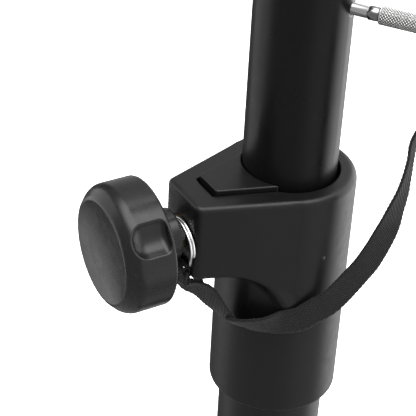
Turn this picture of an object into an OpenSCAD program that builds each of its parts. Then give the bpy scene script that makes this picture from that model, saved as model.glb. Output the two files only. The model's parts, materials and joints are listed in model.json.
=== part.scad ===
// Tripod stand with a telescopic mast, a wedge clamp and a tethered locking pin.
// +Z is up, the floor is z = 0, the mast's axis is x = y = 0 and the clamp's
// knob points along -X. All lengths are in millimetres.

/* [Mast] */
// Outer diameter of the sliding upper tube
upper_d = 35; // [34:0.5:36]
// Outer diameter of the fixed lower tube
lower_d = 41.3; // [40.5:0.1:42]
// Wall thickness of both mast tubes
mast_wall = 1.6; // [1.2:0.1:1.8]
// Length of the upper tube
upper_len = 900; // [700:10:1000]
// Height of the pole's top above the floor
pole_top = 1300; // [1250:10:1350]
// Height of the clamp's top face above the floor
clamp_top = 930; // [920:5:940]

/* [Clamp] */
// Diameter of the clamp's round sleeve
sleeve_d = 50; // [49:0.5:52]
// Height of the clamp's moulding
sleeve_h = 97.4; // [90:0.2:105]
// Distance from the mast's axis to the face behind the knob
boss_reach = 44.8; // [44:0.2:46]
// Width of the face behind the knob
boss_w = 22.4; // [21:0.2:24]
// Height of the boss at the knob
boss_h = 31; // [30:0.5:33]
// Depth of the clamp screw below the clamp's top
screw_drop = 15.7; // [14.5:0.1:16.5]
// Diameter of the clamp screw
screw_d = 8; // [7.8:0.1:8.2]
// Diameter of the clamp knob
knob_d = 47.4; // [44:0.2:50]

/* [Locking pin] */
// Height of the pin above the clamp's top
pin_rise = 67.2; // [62:0.2:72]
// Direction of the pin about the mast
pin_turn = -54; // [-60:1:-45]
// Diameter of the pin's shaft
pin_d = 4.4; // [4:0.1:4.8]
// Distance between the mast's pin holes
hole_pitch = 100; // [80:5:110]

/* [Tripod] */
// Angle between a spread leg and the mast
spread = 52; // [48:1:54]
// Diameter of a leg tube
leg_d = 25; // [24:0.5:26]
// Distance from the mast's axis to the leg and brace pivots
pivot_r = 40; // [40:0.5:42]
// Height of the brace pivots on the bottom collar
base_pivot = 100; // [95:1:110]
// Length of a brace, and distance from a leg's top pivot to its brace
brace_len = 260; // [250:5:270]

/* [Tether] */
// Width of the webbing strap
strap_w = 10.8; // [8:0.2:12]
// Thickness of the webbing strap
strap_t = 1.4; // [1.2:0.1:1.8]

/* [Hidden] */
$fn = 96;

upper_r = upper_d / 2;
lower_r = lower_d / 2;
lower_in = lower_r - mast_wall;
sleeve_r = sleeve_d / 2;
upper_foot = pole_top - upper_len;
lower_foot = 60;              // lower end of the lower tube
lower_head = clamp_top - 32;  // its upper end, below the shoe
screw_z = clamp_top - screw_drop;
screw_r = screw_d / 2;
pin_z = clamp_top + pin_rise;
pin_r = pin_d / 2;
leg_r = leg_d / 2;
hub_pivot = base_pivot + 2 * brace_len * cos(spread);
leg_reach = hub_pivot / cos(spread); // pivot to floor, along the leg
bolt_r = 4;
bolt_gap = 0.08;                     // running clearance of every pivot
cap_r = 3;                           // length of a bolt's head or nut

mast_black = "#222426";
mould_black = "#2e3032";
knob_black = "#38393b";
steel = "#c9ccd0";
brass = "#b49a5a";
rubber = "#1b1b1c";
webbing = "#1d1d1f";

// ---- helpers ----

module ring(r_out, r_in, h) {
    difference() {
        cylinder(r = r_out, h = h);
        translate([0, 0, -1]) cylinder(r = r_in, h = h + 2);
    }
}

// A cylinder along -X from reach a to reach b, at the clamp screw's height
module along_screw(r, a, b, z = screw_z) {
    translate([-a, 0, z]) rotate([0, -90, 0]) cylinder(r = r, h = b - a);
}

// A cylinder along the locking pin from distance a to b
module along_pin(r, a, b, z = pin_z) {
    rotate([0, 0, pin_turn]) translate([a, 0, z]) rotate([0, 90, 0]) cylinder(r = r, h = b - a);
}

// A cylinder across a leg's plane, from y = a to y = b, in that leg's own X-Z plane
module across(r, x, z, a, b) {
    translate([x, b, z]) rotate([90, 0, 0]) cylinder(r = r, h = b - a);
}

// Put children on the leg: their +Z runs from the top pivot towards the foot
module on_leg(i) {
    rotate([0, 0, leg_turn(i)]) translate([pivot_r, 0, hub_pivot])
        rotate([0, 180 - spread, 0]) children();
}

// Put children on the brace: their +Z runs from the bottom pivot to the leg
module on_brace(i) {
    rotate([0, 0, leg_turn(i)]) translate([pivot_r, 0, base_pivot])
        rotate([0, spread, 0]) children();
}

function leg_turn(i) = 120 * (i - 1);

// ---- fixed mast tube and clamp ----

module lower_tube() {
    color(mast_black) difference() {
        translate([0, 0, lower_foot]) ring(lower_r, lower_in, lower_head - lower_foot);
        along_housing_screw(2.1);
        along_collar_screw(2.1);
    }
}

module lower_end_cap() {
    color(rubber) {
        translate([0, 0, lower_foot - 4]) cylinder(r = lower_r, h = 4);
        translate([0, 0, lower_foot]) ring(lower_in, lower_in - 2.5, 18);
    }
}

housing_screw_z = clamp_top - sleeve_h + 16;
screw_head_r = 4;
screw_seat = sleeve_r - 0.4; // reach of the flat under the screw's head
module along_housing_screw(r, a = lower_in - 1, b = sleeve_r + 2) {
    translate([a, 0, housing_screw_z]) rotate([0, 90, 0]) cylinder(r = r, h = b - a);
}

module housing_screw() {
    color(steel) difference() {
        union() {
            along_housing_screw(2.1, lower_in + 0.2, sleeve_r);
            along_housing_screw(screw_head_r, screw_seat, sleeve_r + 1.8);
        }
        translate([sleeve_r + 1, -0.5, housing_screw_z - 5]) cube([2, 1, 10]);
        translate([sleeve_r + 1, -5, housing_screw_z - 0.5]) cube([2, 10, 1]);
    }
}

// Outline of the boss seen from above: its sides run from a flat end to the sleeve,
// which they meet just short of a tangent
module boss_outline() {
    r = sleeve_r - 0.05;
    x = -boss_reach;
    w = boss_w / 2;
    touch = atan2(w, x) - acos(r / norm([x, w]));
    polygon([[x, w], [x, -w], [r * cos(touch), -r * sin(touch)], [r * cos(touch), r * sin(touch)]]);
}

gusset_r = 24;      // concave sweep from the boss down to the sleeve
gusset_x = -35;
gusset_h = boss_h + gusset_r;

// Block that gives the boss its side view
module boss_side() {
    difference() {
        translate([-60, -35, -gusset_h]) cube([60, 70, gusset_h]);
        translate([-61, -36, -gusset_h - 1]) cube([61 + gusset_x, 72, gusset_r + 1]);
        translate([gusset_x, 0, -gusset_h]) rotate([90, 0, 0]) cylinder(r = gusset_r, h = 72, center = true);
    }
}

mouth_r = 18.6;      // bore around the upper tube, above the lower tube
pocket_end = 35.6;   // reach of the shoe's pocket
pocket_floor = 25.8; // depth of the pocket below the clamp's top
shoe_end = 34.2;     // reach of the shoe
shoe_end_w = 12.4;   // width of the shoe at the screw
shoe_near = 12.4;    // reach of the shoe's corners beside the mast
shoe_near_w = 26;
shoe_side = 0.5;     // gap beside the shoe
shoe_proud = 1.8;    // the shoe stands this far above the clamp's top

module shoe_outline(side, near, end) {
    slope = (shoe_near_w - shoe_end_w) / (shoe_end - shoe_near) / 2;
    wide = shoe_near_w / 2 + side + slope * (shoe_near - near);
    thin = shoe_end_w / 2 + side + slope * (shoe_end - end);
    polygon([[-end, thin], [-end, -thin], [-near, -wide], [-near, wide]]);
}

module clamp_housing() {
    color(mould_black) difference() {
        union() {
            translate([0, 0, clamp_top - sleeve_h]) cylinder(r = sleeve_r, h = sleeve_h);
            translate([0, 0, clamp_top]) intersection() {
                translate([0, 0, -gusset_h]) linear_extrude(gusset_h) boss_outline();
                boss_side();
            }
        }
        translate([0, 0, clamp_top - sleeve_h - 1]) cylinder(r = lower_r, h = lower_head - clamp_top + sleeve_h + 1);
        translate([0, 0, lower_head - 1]) cylinder(r = mouth_r, h = clamp_top - lower_head + 2);
        translate([0, 0, clamp_top - pocket_floor]) linear_extrude(pocket_floor + 1)
            shoe_outline(shoe_side, shoe_near + 0.4, pocket_end);
        along_screw(nut_r, pocket_end - 1, boss_reach + 1);
        along_housing_screw(2.1);
        along_housing_screw(screw_head_r + 0.02, screw_seat);
    }
}

nut_r = 6;
module clamp_nut() {
    color(brass) difference() {
        along_screw(nut_r, pocket_end, boss_reach + 0.1);
        along_screw(screw_r + bolt_gap, pocket_end - 1, boss_reach + 1);
    }
}

bush_h = 32;
module guide_bush() {
    color(mould_black) translate([0, 0, lower_head - bush_h]) ring(lower_in, upper_r + bolt_gap, bush_h);
}

// ---- clamp shoe, screw and knob ----

tip_reach = 28.6; // reach of the screw's tip inside the shoe
module clamp_shoe() {
    color(mould_black) difference() {
        translate([0, 0, clamp_top - pocket_floor + 0.35]) linear_extrude(pocket_floor - 0.35 + shoe_proud)
            shoe_outline(0, shoe_near, shoe_end);
        translate([0, 0, clamp_top - pocket_floor - 1]) cylinder(r = upper_r + 0.25, h = pocket_floor + 4);
        along_screw(screw_r + bolt_gap, tip_reach - 0.4, shoe_end + 1);
    }
}

knob_back = 58;   // reach of the knob's back
knob_t = 18.2;    // thickness of the knob
knob_r = knob_d / 2;
hub_reach = 48.2; // reach of the knob's small hub

module clamp_screw() {
    color(steel) along_screw(screw_r, tip_reach, knob_back + 14);
}

scallops = 3;
scallop_r = 8.5;
scallop_depth = 3.4;
knob_lip = 1.4;    // thin edge left at the knob's back, behind the scallops
scallop_turn = 37; // the first scallop's angle above the horizontal, on the -Y side

module knob_profile(r, t, hub_r, hub_h) {
    polygon([
        [0, -hub_h], [hub_r - 0.8, -hub_h], [hub_r, 0.8 - hub_h], [hub_r, 0],
        [r - 1.6, 0], [r - 0.5, 0.5], [r, 1.6], [r, t - 4.4], [r - 0.5, t - 3.4],
        [r - 3, t - 0.6], [r - 3.9, t], [r - 5, t - 0.2], [0, t - 1.6]
    ]);
}

module clamp_knob() {
    color(knob_black) difference() {
        translate([-knob_back, 0, screw_z]) rotate([0, -90, 0]) difference() {
            rotate_extrude() knob_profile(knob_r, knob_t, 9.5, knob_back - hub_reach);
            for (i = [0 : scallops - 1])
                rotate([0, 0, 270 + scallop_turn + 360 / scallops * i])
                    translate([knob_r + scallop_r - scallop_depth, 0, 0]) {
                        translate([0, 0, knob_lip]) cylinder(r = scallop_r, h = knob_t - 8.5 - knob_lip);
                        translate([0, 0, knob_t - 8.5]) sphere(r = scallop_r);
                    }
        }
        along_screw(screw_r, hub_reach - 1, knob_back + 14);
    }
}

// ---- sliding upper tube ----

mark_z = pole_top - 105; // a shallow ring that marks a full-depth socket
module upper_tube() {
    color(mast_black) difference() {
        translate([0, 0, upper_foot]) ring(upper_r, upper_r - mast_wall, upper_len);
        for (i = [-1 : 1]) along_pin(pin_r + bolt_gap, -upper_r - 2, upper_r + 2, pin_z + i * hole_pitch);
        translate([0, 0, mark_z - 2]) ring(upper_r + 1, upper_r - 0.4, 2);
    }
}

module guide_plug() {
    color(mould_black) translate([0, 0, upper_foot - 12]) {
        ring(lower_in - 0.3, 12, 12);
        translate([0, 0, 12]) ring(upper_r - mast_wall, 12, 22);
    }
}

module pole_cap() {
    color(mould_black) {
        translate([0, 0, pole_top - 16]) ring(upper_r - mast_wall, 12.5, 16);
        translate([0, 0, pole_top]) rotate_extrude() polygon([
            [0, 0], [upper_r - 0.3, 0], [upper_r - 0.3, 1.4], [upper_r - 1, 2.3], [upper_r - 3, 2.8], [0, 3.2]
        ]);
    }
}

// ---- locking pin ----

pin_tip = -upper_r - 5;
pin_collar = 23.5;
grip_start = 27;
grip_end = 60;
grip_r = 3.05;
eye_at = 56.5; // distance from the mast's axis to the hole for the split ring
module lock_pin() {
    color(steel) {
        along_pin(pin_r, pin_tip + 2, grip_end - 8);
        rotate([0, 0, pin_turn]) translate([pin_tip + 2, 0, pin_z]) rotate([0, -90, 0])
            rotate_extrude() polygon([[0, 0], [pin_r, 0], [pin_r - 1.2, 2], [0, 2]]);
        along_pin(2.5, pin_collar, grip_start);
    }
}

module pin_grip() {
    color(steel) difference() {
        along_pin(grip_r, grip_start, grip_end);
        along_pin(pin_r, grip_start - 1, grip_end - 8);
        rotate([0, 0, pin_turn]) translate([eye_at, 0, pin_z]) rotate([90, 0, 0])
            cylinder(r = 1.6, h = 10, center = true);
    }
}

// A split ring of two turns, its axis along X and its centre at the origin
ring_r = 9.2;
module split_ring() {
    rotate([0, 90, 0]) rotate_extrude() translate([ring_r, 0]) square([1.1, 2.2], center = true);
}

ring_reach = boss_reach + 1.4;
ring_fall = 3; // the ring hangs on the screw, down and towards -Y
module knob_ring() {
    color(steel) translate([-ring_reach, -ring_fall, screw_z - ring_fall]) split_ring();
}

module pin_ring() {
    color(steel) rotate([0, 0, pin_turn]) translate([eye_at, 0, pin_z - ring_r]) split_ring();
}

// Tether route: points from the knob's ring round the sleeve to the pin's ring,
// with z measured from the clamp's top, and the direction of the strap's width
ROUTE = [
    [[-46.2, -3.6, -28.9], [0, 1, -0.06]],
    [[-46.3, -3.4, -33.8], [-0.1, 0.98, -0.14]],
    [[-42, -4.6, -37.9], [-0.27, 0.74, -0.62]],
    [[-37.4, -6.2, -41.1], [-0.38, 0.74, -0.55]],
    [[-32.7, -7.8, -48.1], [-0.3, 0.88, -0.38]],
    [[-28.6, -8.8, -53.9], [0, 0.9, -0.43]],
    [[-27.3, -11.1, -55.1], [0.63, 0.37, -0.69]],
    [[-25.8, -14.3, -54.3], [0.64, 0.31, -0.7]],
    [[-22.7, -17.8, -53.8], [0.47, 0.34, -0.81]],
    [[-18.9, -20.8, -53], [0.3, 0.3, -0.9]],
    [[-12.9, -22.9, -52.2], [0.19, -0.02, -0.98]],
    [[-7, -25.6, -50.9], [0.39, -0.2, -0.9]],
    [[-2.3, -27.5, -47.7], [0.54, -0.26, -0.8]],
    [[2.7, -28.9, -44.7], [0.68, -0.27, -0.68]],
    [[7, -31.4, -38], [0.81, -0.24, -0.54]],
    [[10.4, -33.2, -31.8], [0.83, -0.21, -0.52]],
    [[13.7, -35, -25.1], [0.86, -0.17, -0.48]],
    [[16.6, -36.4, -18], [0.92, -0.1, -0.39]],
    [[18.5, -37.3, -11.6], [0.96, -0.03, -0.28]],
    [[19.9, -38.1, -4.9], [0.96, 0.18, -0.19]],
    [[21.2, -38.7, 1.6], [0.94, 0.33, -0.13]],
    [[22, -39.2, 8], [0.86, 0.5, -0.07]],
    [[22.6, -39.5, 14.2], [0.8, 0.6, -0.04]],
    [[23, -39.7, 20.4], [0.76, 0.65, -0.02]],
    [[23.3, -40, 28.4], [0.75, 0.64, -0.13]],
    [[27, -42, 38], [0.72, 0.65, -0.05]],
    [[32.2, -45, 47.2], [0.7, 0.65, 0]]
];

function unit(v) = v / norm(v);
function route_point(i) = ROUTE[i][0] + [0, 0, clamp_top];
function route_heading(i) =
    unit(ROUTE[min(i + 1, len(ROUTE) - 1)][0] - ROUTE[max(i - 1, 0)][0]);
function route_side(i) = let (t = route_heading(i), w = ROUTE[i][1]) unit(w - (w * t) * t);
// Eight corners of the strap's section, as shares of its half width and half thickness
SECTION = [[1, -0.5], [1, 0.5], [0.9, 1], [-0.9, 1], [-1, 0.5], [-1, -0.5], [-0.9, -1], [0.9, -1]];
function route_ring(i) = let (s = route_side(i), n = cross(route_heading(i), s))
    [for (c = SECTION) route_point(i) + s * c[0] * strap_w / 2 + n * c[1] * strap_t / 2];

module tether_strap() {
    rings = len(ROUTE);
    sides = len(SECTION);
    points = [for (i = [0 : rings - 1]) each route_ring(i)];
    walls = [
        for (i = [0 : rings - 2]) for (j = [0 : sides - 1])
            let (k = (j + 1) % sides, a = i * sides, b = a + sides)
            each [[a + j, b + j, b + k], [a + j, b + k, a + k]]
    ];
    start_cap = [for (j = [1 : sides - 2]) [0, j, j + 1]];
    last = (rings - 1) * sides;
    end_cap = [for (j = [1 : sides - 2]) [last, last + j + 1, last + j]];
    color(webbing) polyhedron(points, concat(walls, start_cap, end_cap));
}

// ---- bottom collar ----

collar_z = base_pivot - 18;
collar_h = 36;
module along_collar_screw(r, a = lower_in - 1, b = 35) {
    rotate([0, 0, 60]) translate([a, 0, base_pivot]) rotate([0, 90, 0]) cylinder(r = r, h = b - a);
}

module base_collar() {
    color(mould_black) difference() {
        union() {
            translate([0, 0, collar_z]) cylinder(r = 27, h = collar_h);
            for (i = [1 : 3]) rotate([0, 0, leg_turn(i)]) {
                translate([0, -leg_r, base_pivot - 10]) cube([pivot_r, leg_d, 20]);
                across(10, pivot_r, base_pivot, -leg_r, leg_r);
            }
        }
        translate([0, 0, collar_z - 1]) cylinder(r = lower_r, h = collar_h + 2);
        for (i = [1 : 3]) rotate([0, 0, leg_turn(i)])
            across(bolt_r, pivot_r, base_pivot, -leg_r - 1, leg_r + 1);
        along_collar_screw(2.1);
    }
}

module base_set_screw() {
    color(steel) difference() {
        along_collar_screw(2.1, lower_in + 0.2, 26.6);
        along_collar_screw(1.2, 25, 27);
    }
}

brace_gap = 13.2; // half the space between a brace's two straps
brace_t = 3;
brace_w = 20;
module pivot_bolt(x, z, reach) {
    across(bolt_r, x, z, -reach - cap_r - 3, reach);
    across(6.5, x, z, reach, reach + cap_r);
}

module pivot_nut(x, z, reach) {
    difference() {
        translate([x, -reach, z]) rotate([90, 0, 0]) cylinder(r = 7, h = cap_r + 2, $fn = 6);
        across(bolt_r, x, z, -reach - 10, -reach + 1);
    }
}

brace_side = brace_gap + brace_t + 0.1;
module base_bolts() {
    color(steel) for (i = [1 : 3]) rotate([0, 0, leg_turn(i)]) pivot_bolt(pivot_r, base_pivot, brace_side);
}

module base_nuts() {
    color(steel) for (i = [1 : 3]) rotate([0, 0, leg_turn(i)]) pivot_nut(pivot_r, base_pivot, brace_side);
}

// ---- sliding leg hub ----

hub_low = hub_pivot - 22;
hub_h = 62;
ear_in = leg_r + 0.6;
ear_t = 6;
hub_screw_z = hub_pivot + 24;
hub_boss = 42;
hub_pocket = 31;
module leg_hub() {
    color(mould_black) difference() {
        union() {
            translate([0, 0, hub_low]) cylinder(r = 26.5, h = hub_h);
            for (i = [1 : 3]) rotate([0, 0, leg_turn(i)]) for (s = [-1, 1])
                translate([0, s * (ear_in + ear_t / 2), 0]) {
                    translate([0, -ear_t / 2, hub_pivot - 13]) cube([pivot_r, ear_t, 26]);
                    across(13, pivot_r, hub_pivot, -ear_t / 2, ear_t / 2);
                }
            along_screw(11, 0, hub_boss, hub_screw_z);
        }
        translate([0, 0, hub_low - 1]) cylinder(r = lower_r + 0.3, h = hub_h + 2);
        for (i = [1 : 3]) rotate([0, 0, leg_turn(i)]) {
            across(bolt_r, pivot_r, hub_pivot, -25, 25);
            translate([27, -ear_in, hub_pivot - 14]) cube([30, 2 * ear_in, 28]);
        }
        along_screw(8.4, 15, hub_pocket, hub_screw_z);
        along_screw(nut_r, hub_pocket - 1, hub_boss + 1, hub_screw_z);
    }
}

hub_side = ear_in + ear_t;
module hub_bolts() {
    color(steel) for (i = [1 : 3]) rotate([0, 0, leg_turn(i)]) pivot_bolt(pivot_r, hub_pivot, hub_side);
}

module hub_nuts() {
    color(steel) for (i = [1 : 3]) rotate([0, 0, leg_turn(i)]) pivot_nut(pivot_r, hub_pivot, hub_side);
}

module hub_insert() {
    color(brass) difference() {
        along_screw(nut_r, hub_pocket, hub_boss, hub_screw_z);
        along_screw(screw_r + bolt_gap, hub_pocket - 1, hub_boss + 1, hub_screw_z);
    }
}

pad_end = 29;
pad_tip = 26.4;
module hub_pad() {
    color(mould_black) difference() {
        along_screw(8.1, 18, pad_end, hub_screw_z);
        translate([0, 0, hub_low]) cylinder(r = lower_r + 0.3, h = hub_h + 5);
        along_screw(screw_r + bolt_gap, pad_tip - 0.4, pad_end + 1, hub_screw_z);
    }
}

hub_knob_back = 51;
hub_knob_t = 18;
module hub_screw() {
    color(steel) along_screw(screw_r, pad_tip, hub_knob_back + 12, hub_screw_z);
}

hub_knob_r = 19;
module hub_knob() {
    color(knob_black) difference() {
        translate([-hub_knob_back, 0, hub_screw_z]) rotate([0, -90, 0]) difference() {
            rotate_extrude() knob_profile(hub_knob_r, hub_knob_t, 8, 4);
            for (i = [0 : scallops - 1])
                rotate([0, 0, 270 + scallop_turn + 360 / scallops * i])
                    translate([hub_knob_r + scallop_r - scallop_depth, 0, 0]) {
                        translate([0, 0, knob_lip]) cylinder(r = scallop_r, h = hub_knob_t - 8.5 - knob_lip);
                        translate([0, 0, hub_knob_t - 8.5]) sphere(r = scallop_r);
                    }
        }
        along_screw(screw_r, hub_knob_back - 5, hub_knob_back + 12, hub_screw_z);
    }
}

// ---- legs and braces ----

leg_start = 12.5;
leg_end = leg_reach - 22;
module leg_tube(i) {
    color(mast_black) on_leg(i) translate([0, 0, leg_start]) ring(leg_r, leg_r - 1.5, leg_end - leg_start);
}

module leg_plug(i) {
    color(mould_black) on_leg(i) difference() {
        union() {
            across(leg_r - 0.2, 0, 0, -leg_r, leg_r);
            cylinder(r = leg_r, h = leg_start);
            cylinder(r = leg_r - 1.5, h = leg_start + 34);
        }
        across(bolt_r + bolt_gap, 0, 0, -leg_r - 1, leg_r + 1);
        for (s = [-1, 1]) translate([0, s * (leg_r + 5), 0]) cube([2 * leg_d, 10, 2 * leg_start], center = true);
    }
}

foot_up = 52;   // length of the rubber foot along the leg
foot_wall = 3;
module foot(i) {
    color(rubber) difference() {
        on_leg(i) translate([0, 0, leg_reach - foot_up]) difference() {
            cylinder(r = leg_r + foot_wall, h = foot_up + 12);
            translate([0, 0, -1]) cylinder(r = leg_r, h = foot_up - 21);
        }
        translate([-800, -800, -60]) cube([1600, 1600, 60]);
    }
}

module brace(i, s) {
    color(mast_black) on_brace(i) difference() {
        union() {
            y0 = s > 0 ? brace_gap : -brace_gap - brace_t;
            translate([-brace_w / 2, y0, 0]) cube([brace_w, brace_t, brace_len]);
            for (z = [0, brace_len]) across(brace_w / 2, 0, z, y0, y0 + brace_t);
        }
        across(bolt_r + bolt_gap, 0, 0, -20, 20);
        across(3, 0, brace_len, -20, 20);
    }
}

module brace_rivets(i) {
    color(steel) on_brace(i) for (s = [-1, 1]) mirror([0, s < 0 ? 1 : 0, 0]) {
        across(3, 0, brace_len, leg_r + 0.35, brace_gap + brace_t + 1);
        across(5.5, 0, brace_len, brace_gap + brace_t, brace_gap + brace_t + 2);
    }
}

lower_tube();
lower_end_cap();
clamp_housing();
housing_screw();
clamp_nut();
guide_bush();
knob_ring();
tether_strap();
upper_tube();
guide_plug();
pole_cap();
lock_pin();
pin_grip();
pin_ring();
clamp_shoe();
clamp_screw();
clamp_knob();
base_collar();
base_set_screw();
base_bolts();
base_nuts();
leg_hub();
hub_bolts();
hub_nuts();
hub_insert();
hub_pad();
hub_screw();
hub_knob();
leg_tube(1);  // leg_tube_1
leg_tube(2);  // leg_tube_2
leg_tube(3);  // leg_tube_3
leg_plug(1);  // leg_plug_1
leg_plug(2);  // leg_plug_2
leg_plug(3);  // leg_plug_3
foot(1);  // foot_1
foot(2);  // foot_2
foot(3);  // foot_3
brace(1, 1);  // brace_1_left
brace(1, -1);  // brace_1_right
brace(2, 1);  // brace_2_left
brace(2, -1);  // brace_2_right
brace(3, 1);  // brace_3_left
brace(3, -1);  // brace_3_right
brace_rivets(1);  // brace_rivets_1
brace_rivets(2);  // brace_rivets_2
brace_rivets(3);  // brace_rivets_3
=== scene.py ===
"""Looks of a tripod stand: painted mast, moulded wedge clamp, tethered locking pin, legs and feet.

Sizes in this script are in millimetres; make_piece turns them into metres.
"""
import json
import math

import bpy
import numpy as np
from mathutils import Matrix, Vector


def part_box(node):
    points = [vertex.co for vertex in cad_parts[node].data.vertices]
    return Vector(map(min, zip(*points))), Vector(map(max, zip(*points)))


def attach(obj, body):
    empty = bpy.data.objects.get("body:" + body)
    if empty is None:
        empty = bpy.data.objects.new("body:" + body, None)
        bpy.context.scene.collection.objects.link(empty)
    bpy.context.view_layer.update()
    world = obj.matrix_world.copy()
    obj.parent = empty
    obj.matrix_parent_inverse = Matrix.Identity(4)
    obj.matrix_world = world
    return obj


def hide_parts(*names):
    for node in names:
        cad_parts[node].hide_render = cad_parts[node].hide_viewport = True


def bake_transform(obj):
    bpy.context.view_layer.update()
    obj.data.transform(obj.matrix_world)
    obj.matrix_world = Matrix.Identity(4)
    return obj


MM = 0.001

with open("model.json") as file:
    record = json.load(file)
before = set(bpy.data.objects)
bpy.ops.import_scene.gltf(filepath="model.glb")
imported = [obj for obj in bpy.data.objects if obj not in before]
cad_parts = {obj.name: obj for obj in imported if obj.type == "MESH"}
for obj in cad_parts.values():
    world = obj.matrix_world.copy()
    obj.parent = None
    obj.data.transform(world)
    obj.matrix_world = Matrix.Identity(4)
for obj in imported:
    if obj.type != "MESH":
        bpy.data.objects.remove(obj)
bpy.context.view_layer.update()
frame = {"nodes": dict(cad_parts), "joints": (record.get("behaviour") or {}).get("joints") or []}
nodes = frame["nodes"]


# ------------------------ places from the frame

def box_mm(node):
    """A CAD node's lowest and highest corners, in millimetres."""
    low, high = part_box(node)
    return np.array(low) / MM, np.array(high) / MM


def joint(name):
    """A joint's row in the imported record."""
    return next(j for j in frame["joints"] if j["name"] == name)


housing_low, housing_high = box_mm("clamp_housing")
shoe_low, shoe_high = box_mm("clamp_shoe")
knob_low, knob_high = box_mm("clamp_knob")
screw_low, screw_high = box_mm("clamp_screw")
ring_low, ring_high = box_mm("knob_ring")
upper_high = box_mm("upper_tube")[1]
lower_high = box_mm("lower_tube")[1]
pin_low, pin_high = box_mm("lock_pin")

CLAMP_TOP = housing_high[2]
SLEEVE_R = housing_high[0]
SLEEVE_H = CLAMP_TOP - housing_low[2]
BOSS_REACH = -housing_low[0]
UPPER_R = upper_high[0]
LOWER_R = lower_high[0]
LOWER_HEAD = lower_high[2] - CLAMP_TOP
SCREW_Z = (screw_low[2] + screw_high[2]) / 2
SCREW_R = (screw_high[2] - screw_low[2]) / 2
SCREW_PITCH = 1.25
KNOB_R = max(-knob_low[1], knob_high[1])
PIN_Z = (pin_low[2] + pin_high[2]) / 2
PIN_DIRECTION = np.array(joint("pin_pull")["axis"])
CAD_WIRE_R = 0.65     # the plain rings' wire in the CAD
WIRE_R = 0.55         # the split rings' wire in this model
RING_CENTRE = (ring_low + ring_high) / 2
RING_R = (ring_high[2] - ring_low[2]) / 2 - CAD_WIRE_R


# ------------------------ camera, light and floor

CAMERA_FROM_CLAMP = (-258.9, -374.9, 283.5)   # from the middle of the clamp's top
CAMERA_TURN = math.radians(31)      # right of straight along +Y
CAMERA_DROP = math.radians(33.8)    # looks down by this much
CAMERA_ROLL = math.radians(3.03)
CAMERA_LENS = 127.06
SENSOR_WIDTH = 36
STUDIO_SEEN = 1.05    # brightness of the studio seen directly, a little over white
STUDIO_BASE = 0.42    # brightness of the studio where no lamp reaches
STUDIO_LAMPS = [      # towards the lamp, where its edge starts and ends (as a cosine), brightness
    ((0.993, -0.115, 0.0), 0.74, 0.83, 2.0),
    ((-0.687, 0.727, 0.0), 0.76, 0.83, 1.4),
    ((0.349, -0.937, 0.0), 0.74, 0.82, 0.6),
    ((0.964, 0.266, 0.0), 0.4, 0.74, 0.6),
    ((0.0, 1.0, 0.0), 0.5, 0.72, -0.3),
    ((0.0, -0.2, 0.98), 0.7, 0.95, 5.0),
    ((0.0, 0.0, 1.0), 0.3, 0.8, 0.4),
]


def add_camera():
    x, y, z = CAMERA_FROM_CLAMP
    eye = Vector((x, y, CLAMP_TOP + z)) * MM
    level = math.cos(CAMERA_DROP)
    forward = Vector((math.sin(CAMERA_TURN) * level, math.cos(CAMERA_TURN) * level, -math.sin(CAMERA_DROP)))
    right = Vector((math.cos(CAMERA_TURN), -math.sin(CAMERA_TURN), 0))
    turn = Matrix.Rotation(-CAMERA_ROLL, 3, forward)
    right = turn @ right
    up = right.cross(forward)
    data = bpy.data.cameras.new("camera")
    data.lens = CAMERA_LENS
    data.sensor_width = SENSOR_WIDTH
    data.clip_start = 0.01
    camera = bpy.data.objects.new("camera", data)
    camera.matrix_world = Matrix((
        (right.x, up.x, -forward.x, eye.x),
        (right.y, up.y, -forward.y, eye.y),
        (right.z, up.z, -forward.z, eye.z),
        (0, 0, 0, 1),
    ))
    bpy.context.scene.collection.objects.link(camera)
    bpy.context.scene.camera = camera


def math_node(tree, operation, a, b=None):
    """A Math node's output. Each value is a number or a socket."""
    made = tree.nodes.new("ShaderNodeMath")
    made.operation = operation
    for socket, value in zip(made.inputs, (a, b)):
        if isinstance(value, (int, float)):
            socket.default_value = value
        elif value is not None:
            tree.links.new(value, socket)
    return made.outputs[0]


def add_world():
    """A dim studio with lamps round and above the stand. Seen directly it is plain white."""
    world = bpy.data.worlds.new("studio")
    bpy.context.scene.world = world
    world.use_nodes = True
    tree = world.node_tree
    background = tree.nodes["Background"]
    background.inputs["Color"].default_value = (1, 1, 1, 1)
    place = tree.nodes.new("ShaderNodeTexCoord").outputs["Generated"]

    def lamp(direction, low, high, brightness):
        dot = tree.nodes.new("ShaderNodeVectorMath")
        dot.operation = "DOT_PRODUCT"
        tree.links.new(place, dot.inputs[0])
        dot.inputs[1].default_value = direction
        ramp = tree.nodes.new("ShaderNodeMapRange")
        ramp.interpolation_type = "SMOOTHSTEP"
        tree.links.new(dot.outputs["Value"], ramp.inputs["Value"])
        ends = {"From Min": low, "From Max": high, "To Min": 0.0, "To Max": brightness}
        for socket, value in ends.items():
            ramp.inputs[socket].default_value = value
        return ramp.outputs[0]

    glow = STUDIO_BASE
    for row in STUDIO_LAMPS:
        glow = math_node(tree, "ADD", glow, lamp(*row))
    seen = tree.nodes.new("ShaderNodeLightPath").outputs["Is Camera Ray"]
    direct = math_node(tree, "MULTIPLY", seen, STUDIO_SEEN)
    rest = math_node(tree, "MULTIPLY", math_node(tree, "SUBTRACT", 1.0, seen), glow)
    tree.links.new(math_node(tree, "ADD", direct, rest), background.inputs["Strength"])


# ------------------------ meshes

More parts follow.
